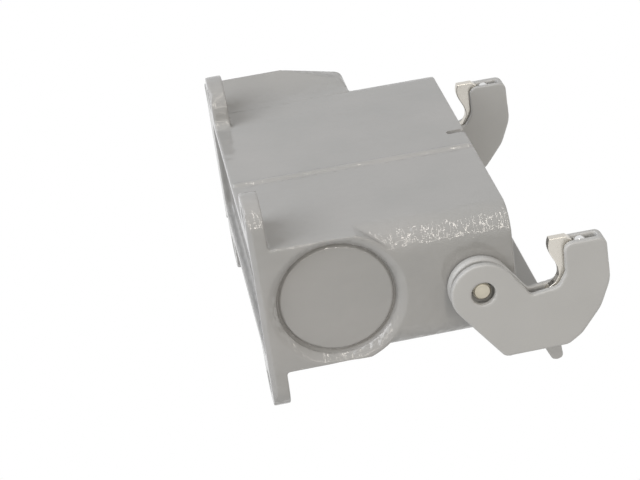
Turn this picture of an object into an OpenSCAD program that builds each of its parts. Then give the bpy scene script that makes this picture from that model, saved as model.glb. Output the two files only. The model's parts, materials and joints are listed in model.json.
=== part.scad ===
// Surface-mount base housing of a rectangular heavy-duty connector, with one
// locking lever. The mounting face lies on z = 0 and the mating face looks up.
// X runs along the housing: the blanked end is at -X, the cable entry at +X.

/* [Housing] */
// Height from the mounting face to the mating face
body_h = 59.1; // [54:0.1:80]
// Length of the body at the mounting face
base_len = 88; // [84:0.5:89]
// Width of the body at the mounting face
base_w = 32; // [31:0.1:36]
// Length of the body at the mating face
mate_len = 89.4; // [88:0.2:96]
// Width of the body at the mating face
mate_w = 31; // [29:0.1:32]
// Radius of the upright corners
corner_r = 6.6; // [5:0.1:8]
// Thickness of the cast walls
wall = 3.4; // [2.8:0.1:4.2]
// Thickness of the closed floor
floor_t = 3; // [2:0.1:5]
// Depth of the recess under the floor
sole_recess = 2; // [1:0.1:3]
// Width of the rim that the housing stands on
sole_rim = 3; // [2:0.1:5]

/* [Mating rim] */
// Depth of the seal ledge below the mating face
rim_depth = 6; // [4.5:0.1:8]
// Thickness of the thin wall outside the seal
rim_wall = 1.6; // [1.2:0.1:2.2]
// Height of the seal's flat ring
seal_h = 2.6; // [1.5:0.1:3.5]
// Height of the sealing lip on that ring
seal_lip_h = 0.8; // [0.4:0.1:1.2]
// Width of the sealing lip
seal_lip_w = 0.7; // [0.4:0.1:1]
// Gap between the seal and the walls beside it
seal_gap = 0.05; // [0.02:0.01:0.2]
// Width of the index notch in the long wall's edge
notch_w = 1.8; // [1.2:0.1:3]
// Height of the index notch
notch_h = 4.4; // [3:0.1:6]
// Depth of the index notch into the wall
notch_depth = 0.9; // [0.5:0.1:1.2]
// Distance of the index notch from the middle of the wall
notch_x = 2.4; // [1:0.1:6]

/* [Parting bead] */
// Distance of the bead from the middle of the wall
bead_x = 7.2; // [4:0.1:15]
// Radius of the bead's round back
bead_r = 1; // [0.6:0.1:1.5]
// Height that the bead stands proud of the wall
bead_proud = 0.75; // [0.3:0.05:0.9]

/* [Contact insert seat] */
// Spacing of the insert screws along the housing
screw_x = 66; // [62:0.5:68]
// Spacing of the insert screws across the housing
screw_y = 16; // [12:0.5:18]
// Tapping diameter of the insert screw holes
screw_d = 3.3; // [2.5:0.1:4.2]
// Depth of the insert screw holes
screw_depth = 9; // [6:0.5:10]
// Reach of the seat past the screw axis
shelf_reach = 4; // [3:0.1:6]
// Thickness of the seat at its inner edge
shelf_t = 11; // [9:0.5:14]

/* [Mounting lugs] */
// Overall width across the lugs
flange_w = 53.5; // [50:0.5:62]
// Length of each lug along the housing
lug_len = 14.8; // [14:0.2:20]
// Thickness of the lugs
lug_t = 4; // [3:0.1:6]
// Radius of the lugs' outer corners
lug_r = 6.8; // [3:0.1:6.9]
// Radius of the fillet where a lug meets the wall
lug_fillet = 2.5; // [1:0.1:4]
// Diameter of the mounting holes
lug_hole_d = 5.3; // [4.3:0.1:6.4]

/* [Blanked end] */
// Height of the two end ports above the mounting face
port_z = 17.9; // [17.5:0.1:20]
// Diameter of the blanked port
blank_d = 28; // [24:0.1:28.6]
// Depth of the blanked port's recess
blank_depth = 2; // [0.8:0.1:2.2]
// Radius of the rounded rim round the recess
blank_lip_r = 1.5; // [0.5:0.1:1.8]
// Width of the break-out groove round the disc
groove_w = 0.8; // [0.4:0.1:1.2]
// Depth of the break-out groove
groove_depth = 0.4; // [0.2:0.1:0.5]
// Width of the flat pad round the blanked port
pad_border = 2.9; // [2.4:0.1:4]

/* [Cable entry] */
// Core diameter of the entry thread
entry_d = 30.4; // [26:0.1:31]
// Chamfer at the mouth of the entry
entry_chamfer = 1; // [0.5:0.1:1.5]
// Distance the entry boss stands out past the mounting face
boss_reach = 8; // [6:0.5:14]
// Width of the entry boss
boss_w = 40.4; // [38:0.2:46]
// Height of the entry boss
boss_h = 36.7; // [36:0.1:37.2]
// Height at which the boss starts to narrow
boss_shoulder_z = 19.5; // [16:0.1:26]
// Width of the boss at its top
boss_top_w = 32.8; // [30:0.2:38]
// Radius of the boss's upper edges
boss_edge_r = 2.4; // [1:0.1:4]
// Length over which the long walls flare out to the boss
flare_len = 12; // [9:0.5:20]

/* [Lever] */
// Depth of the lever's pivot below the mating face
pivot_drop = 9; // [8.4:0.1:11]
// Distance of the lever's pivot from the middle, towards the crossbar
pivot_y = 1.3; // [0:0.1:1.8]
// Diameter of the lever's hubs
hub_d = 14.8; // [13:0.1:16]
// Gap between the end walls and the lever's hubs
arm_gap = 0.4; // [0.3:0.05:1]
// Thickness of each arm's outer plate
outer_t = 1.7; // [1.4:0.1:3]
// Width of the slot between an arm's two plates
slot_w = 2.1; // [1:0.1:2.4]
// Thickness of each arm's inner plate
inner_t = 1.3; // [1.1:0.1:3]
// Height of the hub towards the end wall
hub_boss_t = 0.8; // [0.4:0.1:2.4]
// Height of the bearing hub inside the slot
bearing_t = 0.6; // [0.3:0.1:0.8]
// Step from the hub's radius down to its two raised faces
hub_step = 0.3; // [0.2:0.1:1]
// Thickness of the web that closes the slot along the arm's back
web_t = 2; // [1.4:0.1:2.6]
// Height of the arm's heel above the pivot
heel_z = 3.6; // [2.5:0.1:5]
// Height of the arm's shoulder above the pivot
shoulder_z = 18.6; // [17:0.1:20]
// Height of the arm's crown above the pivot
crown_z = 29.4; // [28.4:0.1:33]
// Reach of the hook's end past the middle
hook_y = 7.4; // [6.5:0.1:9.5]
// Height of the hook's underside above the pivot
hook_z = 19.4; // [18.8:0.1:20.4]
// Height of the throat's foot above the pivot
throat_z = 10.9; // [10:0.1:12]
// Distance of the throat's back from the middle
throat_y = 3.5; // [2.5:0.1:4.5]
// Gap between a mated hood and the crossbar
bar_gap = 1.2; // [0.8:0.1:3]
// Thickness of the crossbar
bar_t = 1.8; // [1.6:0.1:3.5]
// Height of the crossbar's lower edge above the pivot
bar_z = 11.8; // [10.6:0.1:14]
// Reach of the finger lip past the crossbar
lip_reach = 9.9; // [7:0.1:14]
// Thickness of the finger lip at its root
lip_t = 4.5; // [3:0.1:5.5]
// Distance of the finger lip's ends from the arms
lip_inset = 6; // [2:0.5:12]

/* [Pins, hook plates and springs] */
// Diameter of the pivot pins
pin_d = 4.2; // [3:0.1:4.6]
// Radial clearance of the lever's bearings on the pins
pin_play = 0.05; // [0.02:0.01:0.1]
// Depth of a pin's end below the arm's outer face
pin_sink = 1.4; // [0.5:0.1:1.6]
// Length of a pin inside the housing
pin_grip = 7; // [5:0.5:9]
// Radial clearance of the pins in the housing
pin_fit = 0.02; // [0.01:0.01:0.05]
// Diameter of the sight holes in the outer plates
sight_d = 5.6; // [5:0.1:7]
// Side clearance of the hook plates in their slots
plate_play = 0.05; // [0.02:0.01:0.15]
// Thickness of the spring strip
spring_t = 0.5; // [0.3:0.05:0.8]
// Height of the folded spring
spring_h = 4.2; // [3.4:0.1:4.4]

/* [Hidden] */
$fn = 64;
corner_fn = 48;
flare_fn = 180;
// How far a cutter runs past a face, and how far joined solids run into each other
cut = 1;
overlap = 0.1;

// Lean of the end walls and draft of the long walls, in mm per mm of height
end_lean = (mate_len - base_len) / 2 / body_h;
side_draft = (base_w - mate_w) / 2 / body_h;
function end_x(z) = base_len / 2 + end_lean * z;
function side_y(z) = base_w / 2 - side_draft * z;
blank_lean = atan(end_lean);
side_tilt = atan(side_draft);

floor_z = sole_recess + floor_t;
ledge_z = body_h - rim_depth;
seal_w = wall - rim_wall - 2 * seal_gap;
pad_r = blank_d / 2 + pad_border;
// The rim's rounding stops short of the wall's tangent by this much
blank_lip_lift = 0.05;
lug_x = base_len / 2 - lug_len / 2;
lug_y = (base_w + flange_w) / 4;

// The long walls swell into the entry boss along an arc in plan
boss_x = base_len / 2 + boss_reach;
flare_rise = boss_w / 2 - side_y(port_z);
flare_r = (pow(flare_len, 2) + pow(flare_rise, 2)) / (2 * flare_rise);

// Faces of an arm along X, from the end wall outwards
pivot_z = body_h - pivot_drop;
hub_r = hub_d / 2;
hub_in = max(end_x(body_h), end_x(pivot_z - hub_r)) + arm_gap;
arm_in = hub_in + hub_boss_t;
slot_in = arm_in + inner_t;
slot_out = slot_in + slot_w;
arm_out = slot_out + outer_t;
pin_r = pin_d / 2;
pin_end = arm_out - pin_sink;
pin_root = end_x(pivot_z) - pin_grip;
pin_chamfer = 0.35;

// Faces of the crossbar, measured from the middle towards -Y
bar_in = mate_w / 2 + bar_gap;
bar_out = bar_in + bar_t;

// Corners of an arm's back, and the roundings of its outline
crown_y = 3.5;
slope_run = 8.5;
slope_drop = 2.6;
slope_y = bar_out - slope_run;
slope_z = crown_z - slope_drop;
elbow_run = 2.3;
elbow_rise = 3.3;
elbow_y = bar_out - elbow_run;
elbow_z = shoulder_z + elbow_rise;
arm_taper = 0.2;
throat_lean = 0.4;
edge_r = 2;
back_r = 8;

// The hub's round end, between the tangents from the heel and from the throat's foot
hub_at = [-pivot_y, 0];
heel_at = [-bar_out, heel_z];
foot_at = [-throat_y - throat_lean, throat_z];
heel_way = heel_at - hub_at;
foot_way = foot_at - hub_at;
hub_from = atan2(heel_way[1], heel_way[0]) + acos(hub_r / norm(heel_way)) - 360;
hub_to = atan2(foot_way[1], foot_way[0]) - acos(hub_r / norm(foot_way));
hub_steps = 36;
hub_step_r = hub_r - hub_step;

// The hook plate's face that a hood's peg bears on: a seat and a detent
seat_drop = 2.45;
seat_z = hook_z - seat_drop;
seat_wave = 1;
seat_pitch = 6.4;
seat_step = 0.4;
seat_end = 1.4;
function seat(y) = seat_z + seat_wave * cos(180 * y / seat_pitch);

// The rest of the hook plate: its tip, its back and the horn behind the throat
plate_proud = 1;
plate_tip_y = hook_y + plate_proud;
plate_nose = 1.2;
plate_rise = 2.1;
plate_back_z = hook_z + plate_rise;
plate_tail = 3;
plate_tail_y = throat_y + plate_tail;
horn_drop = 2.2;
horn_w = 0.9;

// The folded spring's two ends, its bend and its side clearance
spring_play = 0.15;
spring_bend_r = spring_h / 2;
spring_sink = 0.2;
spring_bend_y = hook_y - spring_sink - spring_bend_r;
spring_lower = 1;
spring_upper = 3.5;
spring_lower_y = throat_y + spring_lower;
spring_upper_y = throat_y + spring_upper;

// The finger lip rises outwards and tapers over its outer part
lip_len = arm_in - lip_inset;
lip_rise = 0.2;
lip_top = hook_z + lip_rise;
lip_edge_r = 1.2;
lip_bend_r = 3;
lip_fold = 0.6;

function unit(v) = v / norm(v);

// Points of a corner at b, between a and c, rounded to the radius r
function corner_arc(a, b, c, r, steps = 6) =
    let (u = unit(a - b), v = unit(c - b), half = acos(u * v) / 2,
         m = b + unit(u + v) * r / sin(half),
         s = b + u * r / tan(half) - m, e = b + v * r / tan(half) - m,
         turn = atan2(s[0] * e[1] - s[1] * e[0], s * e), from = atan2(s[1], s[0]))
    [for (i = [0 : steps]) m + r * [cos(from + turn * i / steps), sin(from + turn * i / steps)]];

// Outline through corners given as [x, y, radius]
function rounded(corners) =
    let (n = len(corners), at = function (i) [corners[(i + n) % n][0], corners[(i + n) % n][1]])
    [for (i = [0 : n - 1])
        each (corners[i][2] > 0 ? corner_arc(at(i - 1), at(i), at(i + 1), corners[i][2]) : [at(i)])];

module rounded_plan(half_len, half_w, r) {
    square([2 * half_len, 2 * (half_w - r)], center = true);
    square([2 * (half_len - r), 2 * half_w], center = true);
    for (sx = [-1, 1], sy = [-1, 1])
        translate([sx * (half_len - r), sy * (half_w - r)]) circle(r);
}

// Drafted block with rounded upright corners, inset from the outer walls
module drafted_block(inset, z0, z1) {
    skin = 0.01;
    hull()
        for (z = [z0, z1 - skin])
            translate([0, 0, z])
                linear_extrude(skin)
                    rounded_plan(end_x(z) - inset, side_y(z) - inset, corner_r - inset, $fn = corner_fn);
}

// Turns a profile drawn in Y and Z, and extrudes it along +X from x0 to x1
module along_x(x0, x1) {
    translate([x0, 0, 0]) rotate([90, 0, 90]) linear_extrude(x1 - x0) children();
}

// Puts a shape drawn for the +X end at both ends
module both_ends() {
    children();
    mirror([1, 0, 0]) children();
}

// Flat pad round the blank: it squares the rounded corners off, up to a round head
module blank_pad() {
    depth = corner_r + cut;
    intersection() {
        along_x(-end_x(body_h), depth - base_len / 2) {
            translate([0, port_z]) circle(pad_r);
            translate([-pad_r, 0]) square([2 * pad_r, port_z]);
        }
        along_x(-end_x(body_h), depth - base_len / 2)
            polygon([[-side_y(0), 0], [side_y(0), 0], [side_y(body_h), body_h], [-side_y(body_h), body_h]]);
        rotate([90, 0, 0])
            linear_extrude(base_w, center = true)
                polygon([[-end_x(0), 0], [-end_x(body_h), body_h],
                         [depth - end_x(body_h), body_h], [depth - end_x(0), 0]]);
    }
}

// Recess, rounded rim and break-out groove, cut square to the leaning end wall
module blank_recess() {
    r = blank_d / 2;
    translate([-end_x(port_z), 0, port_z])
        rotate([0, 90 - blank_lean, 0])
            rotate_extrude()
                difference() {
                    union() {
                        translate([0, -cut]) square([r + blank_lip_r, cut + blank_lip_r]);
                        square([r, blank_depth]);
                        translate([r - groove_w, 0]) square([groove_w, blank_depth + groove_depth]);
                    }
                    translate([r + blank_lip_r, blank_lip_r - blank_lip_lift]) circle(blank_lip_r);
                }
}

// Entry boss: the long walls flare out in plan, and the section narrows upwards
module entry_boss() {
    intersection() {
        linear_extrude(boss_h)
            for (s = [1, -1])
                scale([1, s])
                    difference() {
                        translate([boss_x - flare_len - cut, 0])
                            square([flare_len + cut, boss_w / 2]);
                        translate([boss_x - flare_len, side_y(port_z) + flare_r])
                            circle(flare_r, $fn = flare_fn);
                    }
        along_x(0, boss_x)
            polygon(rounded([
                [-boss_w / 2, 0, 0], [boss_w / 2, 0, 0], [boss_w / 2, boss_shoulder_z, boss_edge_r],
                [boss_top_w / 2, boss_h, boss_edge_r], [-boss_top_w / 2, boss_h, boss_edge_r],
                [-boss_w / 2, boss_shoulder_z, boss_edge_r]]));
    }
}

module entry_bore() {
    r = entry_d / 2;
    x0 = end_x(floor_z) - wall - overlap;
    translate([x0, 0, port_z]) rotate([0, 90, 0]) cylinder(r = r, h = boss_x - x0 + cut);
    translate([boss_x - entry_chamfer, 0, port_z])
        rotate([0, 90, 0])
            cylinder(r1 = r, r2 = r + entry_chamfer + cut, h = entry_chamfer + cut);
}

// One rounded lug with a fillet on its inner side, at the +X +Y corner
module lug() {
    inner = base_len / 2 - lug_len;
    root = base_w / 4;
    tip = flange_w / 2;
    linear_extrude(lug_t) {
        difference() {
            polygon(rounded([
                [inner, root, 0], [base_len / 2, root, 0],
                [base_len / 2, tip, lug_r], [inner, tip, lug_r]]));
            translate([lug_x, lug_y]) circle(d = lug_hole_d);
        }
        difference() {
            translate([inner - lug_fillet, root])
                square([lug_fillet + overlap, base_w / 2 - root + lug_fillet]);
            translate([inner - lug_fillet, base_w / 2 + lug_fillet]) circle(lug_fillet);
        }
    }
}

// Round-backed bead that follows the long wall's draft
module parting_bead() {
    translate([-bead_x, base_w / 2 - bead_r + bead_proud, 0])
        rotate([side_tilt, 0, 0])
            cylinder(r = bead_r, h = body_h - bead_proud);
}

module index_notch() {
    r = notch_w / 2;
    foot = body_h - notch_h + r;
    translate([notch_x, side_y(body_h) - notch_depth, 0])
        rotate([-90, 0, 0])
            linear_extrude(base_w) {
                translate([0, -foot]) circle(r);
                translate([-r, -body_h - cut]) square([notch_w, body_h + cut - foot]);
            }
}

// Seat for the contact insert, corbelled out of the +X end wall round the pin
module insert_shelf() {
    inner = screw_x / 2 - shelf_reach;
    outer = end_x(ledge_z) - wall / 2;
    intersection() {
        rotate([90, 0, 0])
            linear_extrude(base_w, center = true)
                polygon([[inner, ledge_z], [inner, ledge_z - shelf_t / 2],
                         [end_x(0) - wall, ledge_z - shelf_t], [outer, ledge_z - shelf_t], [outer, ledge_z]]);
        drafted_block(wall / 2, floor_z, body_h);
    }
}

module housing() {
    color("#adaca8")
    difference() {
        union() {
            difference() {
                union() {
                    drafted_block(0, 0, body_h);
                    blank_pad();
                    entry_boss();
                    for (sx = [0, 1], sy = [0, 1])
                        mirror([sx, 0, 0]) mirror([0, sy, 0]) lug();
                    parting_bead();
                    mirror([0, 1, 0]) parting_bead();
                }
                drafted_block(wall, floor_z, ledge_z + overlap);
                translate([0, 0, ledge_z])
                    linear_extrude(rim_depth + cut)
                        rounded_plan(end_x(ledge_z) - rim_wall, side_y(body_h) - rim_wall, corner_r - rim_wall);
                translate([0, 0, -cut])
                    linear_extrude(sole_recess + cut)
                        rounded_plan(base_len / 2 - sole_rim, base_w / 2 - sole_rim, corner_r - sole_rim);
                blank_recess();
                entry_bore();
                index_notch();
            }
            both_ends() insert_shelf();
        }
        both_ends() {
            translate([pin_root, -pivot_y, pivot_z])
                rotate([0, 90, 0])
                    cylinder(r = pin_r + pin_fit, h = hub_in - pin_root);
            for (s = [-1, 1])
                translate([screw_x / 2, s * screw_y / 2, ledge_z - screw_depth])
                    cylinder(d = screw_d, h = screw_depth + cut);
        }
    }
}

// Flat ring with a narrow lip along its middle, lying on the housing's ledge
module rim_seal() {
    out_len = end_x(ledge_z) - rim_wall - seal_gap;
    out_w = side_y(body_h) - rim_wall - seal_gap;
    out_r = corner_r - rim_wall - seal_gap;
    lip_in = (seal_w - seal_lip_w) / 2;
    lip_out = seal_w - lip_in;
    color("#2b2b2a")
        translate([0, 0, ledge_z]) {
            linear_extrude(seal_h)
                difference() {
                    rounded_plan(out_len, out_w, out_r);
                    rounded_plan(out_len - seal_w, out_w - seal_w, out_r - seal_w);
                }
            linear_extrude(seal_h + seal_lip_h)
                difference() {
                    rounded_plan(out_len - lip_in, out_w - lip_in, out_r - lip_in);
                    rounded_plan(out_len - lip_out, out_w - lip_out, out_r - lip_out);
                }
        }
}

module pivot_pin() {
    shank = pin_end - pin_root - pin_chamfer;
    color("#cfc9b8")
        translate([pin_root, -pivot_y, pivot_z])
            rotate([0, 90, 0]) {
                cylinder(r = pin_r, h = shank);
                translate([0, 0, shank]) cylinder(r1 = pin_r, r2 = pin_r - pin_chamfer, h = pin_chamfer);
            }
}

module pivot_pin_near() {
    mirror([1, 0, 0]) pivot_pin();
}

module pivot_pin_far() {
    pivot_pin();
}

// Side view of an arm, with the pivot's height at z = 0
module arm_outline() {
    hub = [for (i = [0 : hub_steps])
        let (a = hub_from + (hub_to - hub_from) * i / hub_steps)
        [hub_at[0] + hub_r * cos(a), hub_at[1] + hub_r * sin(a), 0]];
    polygon(rounded(concat(hub, [
        [foot_at[0], foot_at[1], edge_r / 3],
        [-throat_y + throat_lean, hook_z - edge_r, edge_r],
        [0, hook_z - arm_taper, edge_r],
        [hook_y, hook_z, edge_r],
        [hook_y, crown_z - arm_taper, edge_r],
        [-crown_y, crown_z, back_r],
        [-slope_y, slope_z, back_r],
        [-elbow_y, elbow_z, back_r],
        [-bar_out + arm_taper, shoulder_z, edge_r],
        [heel_at[0], heel_at[1], edge_r]])));
}

// Space between an arm's two plates, open at the hub, the throat and the hook's end
module arm_slot() {
    reach = hub_r + hook_y;
    inner = bar_out - web_t;
    polygon([
        [hub_at[0] - hub_r - cut, -hub_r - cut], [reach, -hub_r - cut], [reach, crown_z - web_t],
        [-crown_y, crown_z - web_t], [-slope_y + web_t / 2, slope_z - web_t],
        [-inner, shoulder_z - web_t / 2], [-inner, heel_z + web_t]]);
}

// One arm at the +X end: two plates joined by a web, on a hub that stands in to the wall
module arm() {
    translate([0, 0, pivot_z])
        difference() {
            union() {
                along_x(hub_in, arm_in + overlap) translate(hub_at) circle(hub_step_r);
                along_x(arm_in, arm_out) arm_outline();
            }
            difference() {
                along_x(slot_in, slot_out) arm_slot();
                along_x(arm_in, slot_in + bearing_t) translate(hub_at) circle(hub_step_r);
            }
            along_x(hub_in - cut, slot_out) translate(hub_at) circle(pin_r + pin_play);
            along_x(slot_out - overlap, arm_out + cut) translate(hub_at) circle(d = sight_d);
        }
}

module lever() {
    bar_end = arm_in + overlap;
    lip_root = bar_out - bar_t / 2;
    color("#b0afaa") {
        both_ends() arm();
        translate([0, 0, pivot_z]) {
            along_x(-bar_end, bar_end)
                polygon([[-bar_in, bar_z], [-bar_out, bar_z], [-bar_out, shoulder_z], [-bar_in, shoulder_z]]);
            along_x(-lip_len, lip_len)
                polygon(rounded([
                    [-lip_root, shoulder_z, 0], [-bar_out - lip_reach, lip_top, lip_edge_r],
                    [-bar_out - lip_reach, lip_top - lip_t * lip_fold, lip_edge_r],
                    [-bar_out - lip_reach * lip_fold, lip_top - lip_t, lip_bend_r],
                    [-lip_root, lip_top - lip_t, 0]]));
        }
    }
}

// Hardened plate in the arm's slot, with the seat and detent for a hood's peg
module hook_plate() {
    color("#d6d0c2")
        translate([0, 0, pivot_z])
            along_x(slot_in + plate_play, slot_out - plate_play)
                polygon(concat(
                    [for (y = [plate_tip_y : -seat_step : -seat_end]) [y, seat(y)]],
                    [[-throat_y + horn_w, seat_z], [-throat_y, seat_z - horn_drop + horn_w],
                     [-throat_y - horn_w, seat_z - horn_drop], [-plate_tail_y, seat_z - horn_drop],
                     [-plate_tail_y, plate_back_z - horn_w], [-plate_tail_y + horn_w, plate_back_z],
                     [hook_y, plate_back_z], [plate_tip_y, plate_back_z - plate_nose]]));
}

module hook_plate_near() {
    mirror([1, 0, 0]) hook_plate();
}

module hook_plate_far() {
    hook_plate();
}

// Folded strip between the hook plate's back and the arm's web
module leaf_spring() {
    color("#dcdcda")
        translate([0, 0, pivot_z + plate_back_z])
            along_x(slot_in + spring_play, slot_out - spring_play) {
                translate([-spring_lower_y, 0]) square([spring_bend_y + spring_lower_y, spring_t]);
                translate([-spring_upper_y, spring_h - spring_t])
                    square([spring_bend_y + spring_upper_y, spring_t]);
                translate([spring_bend_y, spring_bend_r])
                    difference() {
                        circle(spring_bend_r);
                        circle(spring_bend_r - spring_t);
                        translate([-2 * spring_bend_r, -spring_bend_r])
                            square(2 * spring_bend_r);
                    }
            }
}

module leaf_spring_near() {
    mirror([1, 0, 0]) leaf_spring();
}

module leaf_spring_far() {
    leaf_spring();
}

housing();
rim_seal();
pivot_pin_near();
pivot_pin_far();
lever();
hook_plate_near();
hook_plate_far();
leaf_spring_near();
leaf_spring_far();
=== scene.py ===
"""Surface-mount base of a rectangular connector, with one locking lever."""
import json
import math

import bmesh
import bpy
from mathutils import Matrix, Vector


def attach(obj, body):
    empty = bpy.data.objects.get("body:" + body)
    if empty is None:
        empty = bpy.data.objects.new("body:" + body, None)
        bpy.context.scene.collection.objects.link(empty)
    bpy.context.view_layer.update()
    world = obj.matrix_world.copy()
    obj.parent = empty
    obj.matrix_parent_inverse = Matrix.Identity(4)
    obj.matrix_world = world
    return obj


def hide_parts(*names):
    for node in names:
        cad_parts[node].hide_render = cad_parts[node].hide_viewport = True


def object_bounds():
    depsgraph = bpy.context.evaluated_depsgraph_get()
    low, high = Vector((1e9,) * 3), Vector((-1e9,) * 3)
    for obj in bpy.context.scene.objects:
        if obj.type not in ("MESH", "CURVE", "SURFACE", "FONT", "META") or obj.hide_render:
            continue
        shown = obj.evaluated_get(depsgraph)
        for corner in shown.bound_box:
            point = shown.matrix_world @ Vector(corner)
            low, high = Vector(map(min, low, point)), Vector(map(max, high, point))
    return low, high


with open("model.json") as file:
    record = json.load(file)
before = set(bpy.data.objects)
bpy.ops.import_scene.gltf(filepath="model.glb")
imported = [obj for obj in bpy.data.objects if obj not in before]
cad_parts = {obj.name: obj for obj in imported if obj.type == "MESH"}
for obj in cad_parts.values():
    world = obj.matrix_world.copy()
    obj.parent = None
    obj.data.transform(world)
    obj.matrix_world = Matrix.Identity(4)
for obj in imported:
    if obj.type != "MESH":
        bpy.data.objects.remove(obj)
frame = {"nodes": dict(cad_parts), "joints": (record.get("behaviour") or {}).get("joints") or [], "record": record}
cad_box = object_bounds()

# Housing: one aluminium die casting, with its walls, lugs, blanked end and entry boss in one.
# It is blasted and powder coated, so every edge and inner corner is softly rounded.
# The cable entry is tapped after casting.
mm = 0.001
mounts = {mount["name"]: mount for mount in frame["record"]["mounts"]}
body_height = mounts["mating_face"]["pos_m"][2]
port_height = mounts["cable_entry"]["pos_m"][2]
end_at_base = 44 * mm
end_at_rim = 44.7 * mm
end_lean = (end_at_rim - end_at_base) / body_height
side_at_base = 16 * mm
side_at_rim = 15.5 * mm
side_lean = (side_at_base - side_at_rim) / body_height
crisp_angle = math.radians(42)


def linear(colour):
    """An sRGB hex colour as linear red, green, blue and alpha."""
    parts = [int(colour[i:i + 2], 16) / 255 for i in (1, 3, 5)]
    return [c / 12.92 if c <= 0.04045 else ((c + 0.055) / 1.055) ** 2.4 for c in parts] + [1]


def add_node(tree, kind, inputs=(), **settings):
    """Adds a node, with its settings and with a value or a link for each named input."""
    node = tree.nodes.new(kind)
    for name, value in settings.items():
        setattr(node, name, value)
    for name, value in dict(inputs).items():
        if isinstance(value, bpy.types.NodeSocket):
            tree.links.new(value, node.inputs[name])
        else:
            node.inputs[name].default_value = value
    return node


def new_material(name):
    """An empty material, its node tree, and the object coordinates that its patterns read."""
    material = bpy.data.materials.new(name)
    material.use_nodes = True
    material.node_tree.nodes.clear()
    place = add_node(material.node_tree, "ShaderNodeTexCoord").outputs["Object"]
    return material, material.node_tree, place


def bake(piece):
    """Turns a piece's modifiers into its own mesh."""
    seen = piece.evaluated_get(bpy.context.evaluated_depsgraph_get())
    shaped = bpy.data.meshes.new_from_object(seen)
    piece.modifiers.clear()
    piece.data = shaped


def soft_piece(node, name, cell, rounds):
    """A CAD node's shape in a fine even mesh, with its edges and inner corners evenly rounded."""
    weld_distance = 0.002 * mm
    bm = bmesh.new()
    bm.from_mesh(frame["nodes"][node].data)
    bmesh.ops.remove_doubles(bm, verts=bm.verts, dist=weld_distance)
    piece = bpy.data.objects.new(name, bpy.data.meshes.new(name))
    bm.to_mesh(piece.data)
    bm.free()
    bpy.context.scene.collection.objects.link(piece)
    skin = piece.modifiers.new("even_skin", "REMESH")
    skin.mode = "VOXEL"
    skin.voxel_size = cell
    rounding = piece.modifiers.new("rounding", "SMOOTH")
    rounding.factor = 0.5
    rounding.iterations = rounds
    bake(piece)
    return piece


def finish_piece(piece, share, material):
    """Keeps a share of the triangles, since flat faces need few, and gives the piece its material."""
    lighter = piece.modifiers.new("lighter", "DECIMATE")
    lighter.ratio = share
    bake(piece)
    piece.data.shade_smooth()
    piece.data.materials.clear()
    piece.data.materials.append(material)


def powder_coat():
    """Baked polyester powder: a soft gloss on faint orange peel, drawn into ridges over round edges."""
    cloud_size = 18 * mm
    peel_size = 2.2 * mm
    peel_height = 0.09 * mm
    ridge_size = 1.5 * mm
    ridge_height = 0.19 * mm
    ridge_squeeze = (0.55, 0.55, 1)
    # The powder's own grain is about 0.1 mm. It is drawn coarser, so that it shows.
    grain_size = 0.4 * mm
    grain_height = 0.003 * mm
    # A face is flat while its normal lies along an axis, and a round edge once it leans off it.
    along_axis = 0.9995
    off_axis = 0.985
    material, tree, place = new_material("grey_powder_coat")
    cloud = add_node(tree, "ShaderNodeTexNoise", {
        "Vector": place, "Scale": 1 / cloud_size, "Detail": 3.0})
    colour = add_node(tree, "ShaderNodeValToRGB", {"Fac": cloud.outputs["Fac"]})
    colour.color_ramp.elements[0].position = 0.3
    colour.color_ramp.elements[0].color = linear("#9f9e9b")
    colour.color_ramp.elements[1].position = 0.7
    colour.color_ramp.elements[1].color = linear("#a5a3a0")
    peel = add_node(tree, "ShaderNodeTexNoise", {
        "Vector": place, "Scale": 1 / peel_size, "Detail": 0.0})
    grain = add_node(tree, "ShaderNodeTexNoise", {
        "Vector": place, "Scale": 1 / grain_size, "Detail": 2.0})
    gloss = add_node(tree, "ShaderNodeMapRange", {
        "Value": grain.outputs["Fac"], "To Min": 0.06, "To Max": 0.13})
    facing = add_node(tree, "ShaderNodeVectorMath", {
        0: place.node.outputs["Normal"]}, operation="ABSOLUTE")
    facing = add_node(tree, "ShaderNodeSeparateXYZ", {"Vector": facing.outputs["Vector"]})
    flat = add_node(tree, "ShaderNodeMath", {
        0: facing.outputs["X"], 1: facing.outputs["Y"]}, operation="MAXIMUM")
    flat = add_node(tree, "ShaderNodeMath", {
        0: flat.outputs[0], 1: facing.outputs["Z"]}, operation="MAXIMUM")
    edge = add_node(tree, "ShaderNodeMapRange", {
        "Value": flat.outputs[0], "From Min": along_axis, "From Max": off_axis})
    drawn = add_node(tree, "ShaderNodeMapping", {"Vector": place, "Scale": ridge_squeeze})
    ridges = add_node(tree, "ShaderNodeTexNoise", {
        "Vector": drawn.outputs["Vector"], "Scale": 1 / ridge_size, "Detail": 1.0,
        "Roughness": 0.4}, normalize=False)
    ridges = add_node(tree, "ShaderNodeMath", {
        0: ridges.outputs["Fac"], 1: edge.outputs["Result"]}, operation="MULTIPLY")
    waves = add_node(tree, "ShaderNodeBump", {
        "Height": peel.outputs["Fac"], "Strength": 1.0, "Distance": peel_height})
    crests = add_node(tree, "ShaderNodeBump", {
        "Height": ridges.outputs[0], "Strength": 1.0, "Distance": ridge_height,
        "Normal": waves.outputs["Normal"]})
    relief = add_node(tree, "ShaderNodeBump", {
        "Height": grain.outputs["Fac"], "Strength": 1.0, "Distance": grain_height,
        "Normal": crests.outputs["Normal"]})
    coat = add_node(tree, "ShaderNodeBsdfPrincipled", {
        "Base Color": colour.outputs["Color"], "Roughness": 0.6, "Specular IOR Level": 0.0,
        "Normal": waves.outputs["Normal"], "Coat Weight": 0.8, "Coat IOR": 1.58,
        "Coat Roughness": gloss.outputs["Result"], "Coat Normal": relief.outputs["Normal"]})
    add_node(tree, "ShaderNodeOutputMaterial", {"Surface": coat.outputs["BSDF"]})
    return material


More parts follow.
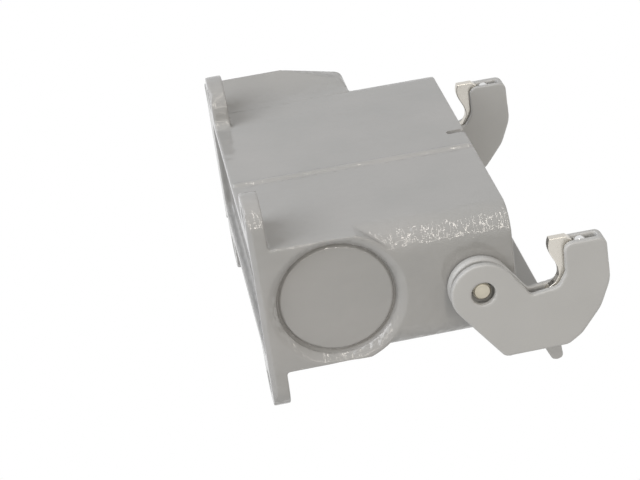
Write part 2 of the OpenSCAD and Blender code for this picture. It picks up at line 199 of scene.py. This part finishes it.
entry_radius = mounts["cable_entry"]["dims"]["r_mm"] * mm
bore_tolerance = 0.25 * mm
thread_pitch = 1.5 * mm
thread_depth = 0.7 * mm
thread_start = 41.4 * mm
thread_end = 50.8 * mm
thread_fade = 1.2 * mm


def tap_entry(point):
    """Moves a point of the entry's bore out into the thread, which fades at both ends."""
    x, y, z = point.x, point.y, point.z - port_height
    out = math.hypot(y, z)
    if thread_start < x < thread_end and abs(out - entry_radius) < bore_tolerance:
        fade = min((x - thread_start) / thread_fade, (thread_end - x) / thread_fade, 1)
        turn = x / thread_pitch - math.atan2(z, y) / (2 * math.pi)
        groove = fade * thread_depth * (0.5 - 0.5 * math.cos(2 * math.pi * turn))
        point.y = y * (out + groove) / out
        point.z = z * (out + groove) / out + port_height


blank_radius = 14 * mm
lip_radius = 1.5 * mm
bevel_width = 2.2 * mm
bevel_curve = 1.6
groove_radius = 13.45 * mm
groove_half = 0.62 * mm
groove_cut = 0.6 * mm
groove_floor_least = 1.7 * mm
groove_floor_most = 2.7 * mm


def behind_end(point):
    """How far a point lies behind the leaning face of the blanked end."""
    return point.x + end_at_base + end_lean * point.z


def shape_blank(point):
    """Wears the blank's round lip to a wider bevel, and deepens the groove round its floor."""
    out = math.hypot(point.y, point.z - port_height)
    depth = behind_end(point)
    inset = out - blank_radius
    aside = (out - groove_radius) / groove_half
    if abs(depth) < lip_radius and 0 < inset < bevel_width:
        round_lip = 1 - math.sqrt(1 - max(0, 1 - inset / lip_radius) ** 2)
        bevel = (1 - inset / bevel_width) ** bevel_curve
        point.x += max(0, lip_radius * (bevel - round_lip))
    elif groove_floor_least < depth < groove_floor_most and abs(aside) < 1:
        point.x += groove_cut * (0.5 + 0.5 * math.cos(math.pi * aside))


bead_at = -7.2 * mm
bead_radius = 1 * mm
bead_proud = 0.75 * mm
bead_foot = 0.5 * mm
bead_tolerance = 0.3 * mm


def raise_bead(point):
    """Gives the parting bead on each side wall its full round back, which the rounding flattens."""
    wall = side_at_base - side_lean * point.z
    on_wall = abs(point.y) > wall - bead_tolerance
    back = bead_radius ** 2 - (point.x - bead_at) ** 2
    if back > 0 and on_wall and bead_foot < point.z < body_height - bead_proud:
        crest = wall + bead_proud - bead_radius + math.sqrt(back)
        point.y = math.copysign(max(abs(point.y), crest), point.y)


notch_at = 2.4 * mm
notch_half = 0.9 * mm
notch_height = 4.4 * mm
notch_depth = 0.9 * mm
notch_floor = side_at_rim - notch_depth
notch_foot = body_height - notch_height + notch_half
rim_rounding = 0.8 * mm


def cut_notch(point):
    """Gives the index notch in the rim a flat floor and steep sides, which the rounding softens."""
    wall = side_at_base - side_lean * point.z
    reach = math.hypot(point.x - notch_at, min(0, point.z - notch_foot)) / notch_half
    if point.y > notch_floor and reach < 1:
        point.y = notch_floor
    elif point.y > notch_floor and reach < 2 and point.z < body_height - rim_rounding:
        point.y = max(point.y, wall)


sole_bevel = 1.1 * mm


def bevel_sole(point):
    """Bevels the edge between the mounting face and the blanked end."""
    over = max(0, sole_bevel - behind_end(point) - point.z) / 2
    point.x += over
    point.z += over


housing = soft_piece("housing", "housing_casting", cell=0.28 * mm, rounds=10)
for vertex in housing.data.vertices:
    for shape_detail in (tap_entry, shape_blank, raise_bead, cut_notch, bevel_sole):
        shape_detail(vertex.co)
finish_piece(housing, share=0.18, material=powder_coat())
housing.data.set_sharp_from_angle(angle=crisp_angle)
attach(housing, "base")
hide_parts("housing")

# Rim seal: a moulded rubber ring with a narrow lip, pressed onto the ledge inside the rim.
# The rubber is black and matt, with a trace of grey bloom.


def seal_rubber():
    """Moulded nitrile rubber: matt black, with bloom that greys it in soft patches."""
    bloom_size = 3 * mm
    bloom_height = 0.02 * mm
    material, tree, place = new_material("black_nitrile_rubber")
    bloom = add_node(tree, "ShaderNodeTexNoise", {
        "Vector": place, "Scale": 1 / bloom_size, "Detail": 4.0})
    colour = add_node(tree, "ShaderNodeValToRGB", {"Fac": bloom.outputs["Fac"]})
    colour.color_ramp.elements[0].position = 0.35
    colour.color_ramp.elements[0].color = linear("#232322")
    colour.color_ramp.elements[1].position = 0.75
    colour.color_ramp.elements[1].color = linear("#353533")
    relief = add_node(tree, "ShaderNodeBump", {
        "Height": bloom.outputs["Fac"], "Strength": 1.0, "Distance": bloom_height})
    rubber = add_node(tree, "ShaderNodeBsdfPrincipled", {
        "Base Color": colour.outputs["Color"], "Roughness": 0.7, "IOR": 1.52,
        "Normal": relief.outputs["Normal"]})
    add_node(tree, "ShaderNodeOutputMaterial", {"Surface": rubber.outputs["BSDF"]})
    return material


seal = soft_piece("rim_seal", "rim_seal_ring", cell=0.18 * mm, rounds=2)
finish_piece(seal, share=0.25, material=seal_rubber())
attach(seal, "base")
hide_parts("rim_seal")

# Pivot pins: two turned steel pins, pressed into the end walls, that the lever swings on.
# Their plating is a warm yellowish grey, and the ends keep the rings of the turning tool.
pivot_at = Vector(frame["joints"][0]["pos_m"])


def turned_steel():
    """Turned and plated steel: fine rings round the pin's axis, on a warm satin metal."""
    stain_size = 1.5 * mm
    # A turning tool leaves rings about 0.1 mm apart. They are drawn wider, so that they show.
    ring_pitch = 0.3 * mm
    ring_height = 0.004 * mm
    material, tree, place = new_material("turned_plated_steel")
    centred = add_node(tree, "ShaderNodeMapping", {"Vector": place, "Location": -pivot_at})
    rings = add_node(tree, "ShaderNodeTexWave", {
        "Vector": centred.outputs["Vector"], "Scale": math.pi / 10 / ring_pitch,
        "Distortion": 0.6}, wave_type="RINGS", rings_direction="X")
    stain = add_node(tree, "ShaderNodeTexNoise", {
        "Vector": place, "Scale": 1 / stain_size, "Detail": 3.0})
    colour = add_node(tree, "ShaderNodeValToRGB", {"Fac": stain.outputs["Fac"]})
    colour.color_ramp.elements[0].color = linear("#b5af9f")
    colour.color_ramp.elements[1].color = linear("#ccc6b6")
    relief = add_node(tree, "ShaderNodeBump", {
        "Height": rings.outputs["Fac"], "Strength": 1.0, "Distance": ring_height})
    steel = add_node(tree, "ShaderNodeBsdfPrincipled", {
        "Base Color": colour.outputs["Color"], "Metallic": 0.7, "Roughness": 0.42,
        "Normal": relief.outputs["Normal"]})
    add_node(tree, "ShaderNodeOutputMaterial", {"Surface": steel.outputs["BSDF"]})
    return material


pin_finish = turned_steel()
for end in ("near", "far"):
    pin = soft_piece("pivot_pin_" + end, "turned_pin_" + end, cell=0.1 * mm, rounds=2)
    finish_piece(pin, share=0.2, material=pin_finish)
    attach(pin, "base")
    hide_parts("pivot_pin_" + end)

# Lever: one glass-filled plastic moulding of two slotted arms, a crossbar and a finger lip.
# It snaps onto the pivot pins. Its faces are satin and its edges are well rounded.


def satin_plastic():
    """Glass-filled polyamide from a spark-eroded mould: an even, fine-grained satin grey."""
    flow_size = 14 * mm
    # A spark-eroded mould's grain is under 0.1 mm. It is drawn coarser, so that it shows.
    grain_size = 0.35 * mm
    grain_height = 0.008 * mm
    material, tree, place = new_material("grey_polyamide")
    flow = add_node(tree, "ShaderNodeTexNoise", {
        "Vector": place, "Scale": 1 / flow_size, "Detail": 2.0})
    colour = add_node(tree, "ShaderNodeValToRGB", {"Fac": flow.outputs["Fac"]})
    colour.color_ramp.elements[0].position = 0.3
    colour.color_ramp.elements[0].color = linear("#b2b1ae")
    colour.color_ramp.elements[1].position = 0.7
    colour.color_ramp.elements[1].color = linear("#b6b5b2")
    grain = add_node(tree, "ShaderNodeTexNoise", {
        "Vector": place, "Scale": 1 / grain_size, "Detail": 2.0})
    gloss = add_node(tree, "ShaderNodeMapRange", {
        "Value": grain.outputs["Fac"], "To Min": 0.36, "To Max": 0.5})
    relief = add_node(tree, "ShaderNodeBump", {
        "Height": grain.outputs["Fac"], "Strength": 1.0, "Distance": grain_height})
    plastic = add_node(tree, "ShaderNodeBsdfPrincipled", {
        "Base Color": colour.outputs["Color"], "Roughness": gloss.outputs["Result"], "IOR": 1.52,
        "Normal": relief.outputs["Normal"]})
    add_node(tree, "ShaderNodeOutputMaterial", {"Surface": plastic.outputs["BSDF"]})
    return material


lever = soft_piece("lever", "locking_lever", cell=0.22 * mm, rounds=10)
finish_piece(lever, share=0.3, material=satin_plastic())
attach(lever, "lever")
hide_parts("lever")

# Hook plates: stamped and hardened steel, nickel plated, held in the slots of the arms.
# A hood's pegs slide on their waved lower edge, which the pegs keep polished.


def plated_steel():
    """Stamped, nickel-plated steel: warm and bright, with faint lines across the cut edge."""
    # The lines of a stamped edge are under 0.1 mm. They are drawn wider, so that they show.
    line_size = 0.25 * mm
    line_height = 0.001 * mm
    line_squeeze = (0.12, 1, 1)
    material, tree, place = new_material("nickel_plated_steel")
    stretched = add_node(tree, "ShaderNodeMapping", {"Vector": place, "Scale": line_squeeze})
    lines = add_node(tree, "ShaderNodeTexNoise", {
        "Vector": stretched.outputs["Vector"], "Scale": 1 / line_size, "Detail": 2.0})
    colour = add_node(tree, "ShaderNodeValToRGB", {"Fac": lines.outputs["Fac"]})
    colour.color_ramp.elements[0].color = linear("#cac5bc")
    colour.color_ramp.elements[1].color = linear("#d2cec6")
    gloss = add_node(tree, "ShaderNodeMapRange", {
        "Value": lines.outputs["Fac"], "To Min": 0.22, "To Max": 0.36})
    relief = add_node(tree, "ShaderNodeBump", {
        "Height": lines.outputs["Fac"], "Strength": 1.0, "Distance": line_height})
    steel = add_node(tree, "ShaderNodeBsdfPrincipled", {
        "Base Color": colour.outputs["Color"], "Metallic": 1.0,
        "Roughness": gloss.outputs["Result"], "Normal": relief.outputs["Normal"]})
    add_node(tree, "ShaderNodeOutputMaterial", {"Surface": steel.outputs["BSDF"]})
    return material


plate_finish = plated_steel()
for end in ("near", "far"):
    plate = soft_piece("hook_plate_" + end, "stamped_hook_" + end, cell=0.1 * mm, rounds=3)
    finish_piece(plate, share=0.25, material=plate_finish)
    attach(plate, "lever")
    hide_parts("hook_plate_" + end)

# Leaf springs: bright spring strip, folded once, that presses each hook plate onto the peg.
# The strip is cold rolled, so it is nearly a mirror along its length.


def spring_strip():
    """Cold-rolled spring steel: a bright mirror with fine rolling lines along the strip."""
    # Rolling lines are a few hundredths of a millimetre. They are drawn wider, so that they show.
    line_size = 0.12 * mm
    line_height = 0.002 * mm
    line_squeeze = (1, 0.08, 0.08)
    material, tree, place = new_material("bright_spring_strip")
    stretched = add_node(tree, "ShaderNodeMapping", {"Vector": place, "Scale": line_squeeze})
    lines = add_node(tree, "ShaderNodeTexNoise", {
        "Vector": stretched.outputs["Vector"], "Scale": 1 / line_size, "Detail": 1.0})
    gloss = add_node(tree, "ShaderNodeMapRange", {
        "Value": lines.outputs["Fac"], "To Min": 0.1, "To Max": 0.25})
    relief = add_node(tree, "ShaderNodeBump", {
        "Height": lines.outputs["Fac"], "Strength": 1.0, "Distance": line_height})
    steel = add_node(tree, "ShaderNodeBsdfPrincipled", {
        "Base Color": linear("#dedede"), "Metallic": 1.0,
        "Roughness": gloss.outputs["Result"], "Normal": relief.outputs["Normal"]})
    add_node(tree, "ShaderNodeOutputMaterial", {"Surface": steel.outputs["BSDF"]})
    return material


spring_finish = spring_strip()
for end in ("near", "far"):
    spring = soft_piece("leaf_spring_" + end, "folded_spring_" + end, cell=0.08 * mm, rounds=2)
    finish_piece(spring, share=0.25, material=spring_finish)
    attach(spring, "lever")
    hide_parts("leaf_spring_" + end)

# Stage: a pale floor under the mounting face, a white studio and its lamps.
# The floor shows only from above, so that it doesn't darken the mounting face,
# which the camera sees from below the floor's level.
floor_gap = 0.2 * mm
floor_size = 4.0
studio_white = 1.0
studio_fill = 0.36

floor_mesh = bpy.data.meshes.new("floor")
bm = bmesh.new()
bmesh.ops.create_grid(bm, x_segments=1, y_segments=1, size=floor_size / 2)
bmesh.ops.translate(bm, verts=bm.verts, vec=(0, 0, cad_box[0][2] - floor_gap))
bm.to_mesh(floor_mesh)
bm.free()
floor = bpy.data.objects.new("floor", floor_mesh)
bpy.context.scene.collection.objects.link(floor)

material, tree, _ = new_material("pale_floor")
ray = add_node(tree, "ShaderNodeLightPath")
side = add_node(tree, "ShaderNodeNewGeometry")
shown = add_node(tree, "ShaderNodeMath", {
    0: ray.outputs["Is Camera Ray"], 1: side.outputs["Backfacing"]},
    operation="SUBTRACT", use_clamp=True)
matt = add_node(tree, "ShaderNodeBsdfDiffuse", {"Color": linear("#f0f0ee")})
clear = add_node(tree, "ShaderNodeBsdfTransparent")
surface = add_node(tree, "ShaderNodeMixShader", {
    0: shown.outputs[0], 1: clear.outputs["BSDF"], 2: matt.outputs["BSDF"]})
add_node(tree, "ShaderNodeOutputMaterial", {"Surface": surface.outputs["Shader"]})
floor_mesh.materials.append(material)

world = bpy.data.worlds.new("white_studio")
bpy.context.scene.world = world
world.use_nodes = True
tree = world.node_tree
tree.nodes.clear()
ray = add_node(tree, "ShaderNodeLightPath")
seen = add_node(tree, "ShaderNodeMath", {
    0: ray.outputs["Is Camera Ray"], 1: ray.outputs["Is Glossy Ray"]}, operation="MAXIMUM")
seen = add_node(tree, "ShaderNodeMath", {
    0: seen.outputs[0], 1: ray.outputs["Is Transmission Ray"]}, operation="MAXIMUM")
level = add_node(tree, "ShaderNodeMapRange", {
    "Value": seen.outputs[0], "To Min": studio_fill, "To Max": studio_white})
sky = add_node(tree, "ShaderNodeBackground", {
    "Color": (1, 1, 1, 1), "Strength": level.outputs["Result"]})
add_node(tree, "ShaderNodeOutputWorld", {"Surface": sky.outputs["Background"]})

lamp_aim = Vector((0, 0, 30 * mm))
lamp_distance = 0.9


def softbox(name, direction, long_way, length, width, brightness, colour="#ffffff"):
    """A lamp that faces the part from a direction, with its long side along long_way. A brightness
    of 1 makes its face white."""
    away = Vector(direction).normalized()
    across = away.cross(Vector(long_way)).normalized()
    along = across.cross(away)
    lamp = bpy.data.lights.new(name, "AREA")
    lamp.shape = "RECTANGLE"
    lamp.size = length
    lamp.size_y = width
    lamp.energy = brightness * math.pi * length * width
    lamp.color = linear(colour)[:3]
    box = bpy.data.objects.new(name, lamp)
    bpy.context.scene.collection.objects.link(box)
    turn = Matrix((along, across, along.cross(across))).transposed().to_4x4()
    box.matrix_world = Matrix.Translation(lamp_aim + lamp_distance * away) @ turn


softbox("top_softbox", (-0.2, 1.0, -0.98), long_way=(1, 0, 0),
        length=0.75, width=0.75, brightness=2.7, colour="#f1f6ff")
softbox("overhead_softbox", (0.0, -0.2, 1.0), long_way=(1, 0, 0),
        length=0.9, width=0.9, brightness=0.8)
softbox("table_bounce", (-0.5, -0.85, -0.2), long_way=(1, 0, 0),
        length=0.9, width=0.9, brightness=0.45)
softbox("upright_strip", (-0.74, 0.67, 0.12), long_way=(0.67, 0.74, 0),
        length=1.1, width=0.06, brightness=11, colour="#fff8ee")
softbox("level_strip", (-0.96, 0.27, 0.0), long_way=(0, 0, 1),
        length=1.8, width=0.05, brightness=6, colour="#fff8ee")
softbox("side_softbox", (-0.4, 0.5, -0.8), long_way=(1, 0, 0),
        length=0.5, width=0.5, brightness=2.1)

# Camera: it looks along the housing at the blanked end, with the lever's hooks to its right.
# Its place, turn and lens are fitted to the photograph.
camera_at = Vector((-440.57, 215.15, -19.96)) * mm
camera_right = Vector((-0.152768, -0.128173, 0.979915))
camera_up = Vector((0.427597, 0.885362, 0.182467))

camera_data = bpy.data.cameras.new("camera")
camera_data.sensor_width = 36
camera_data.lens = 112.32
camera_data.clip_start = 0.02
camera = bpy.data.objects.new("camera", camera_data)
bpy.context.scene.collection.objects.link(camera)
turn = Matrix((camera_right, camera_up, camera_right.cross(camera_up))).transposed().to_4x4()
camera.matrix_world = Matrix.Translation(camera_at) @ turn
bpy.context.scene.camera = camera
bpy.context.scene.view_settings.view_transform = "Standard"
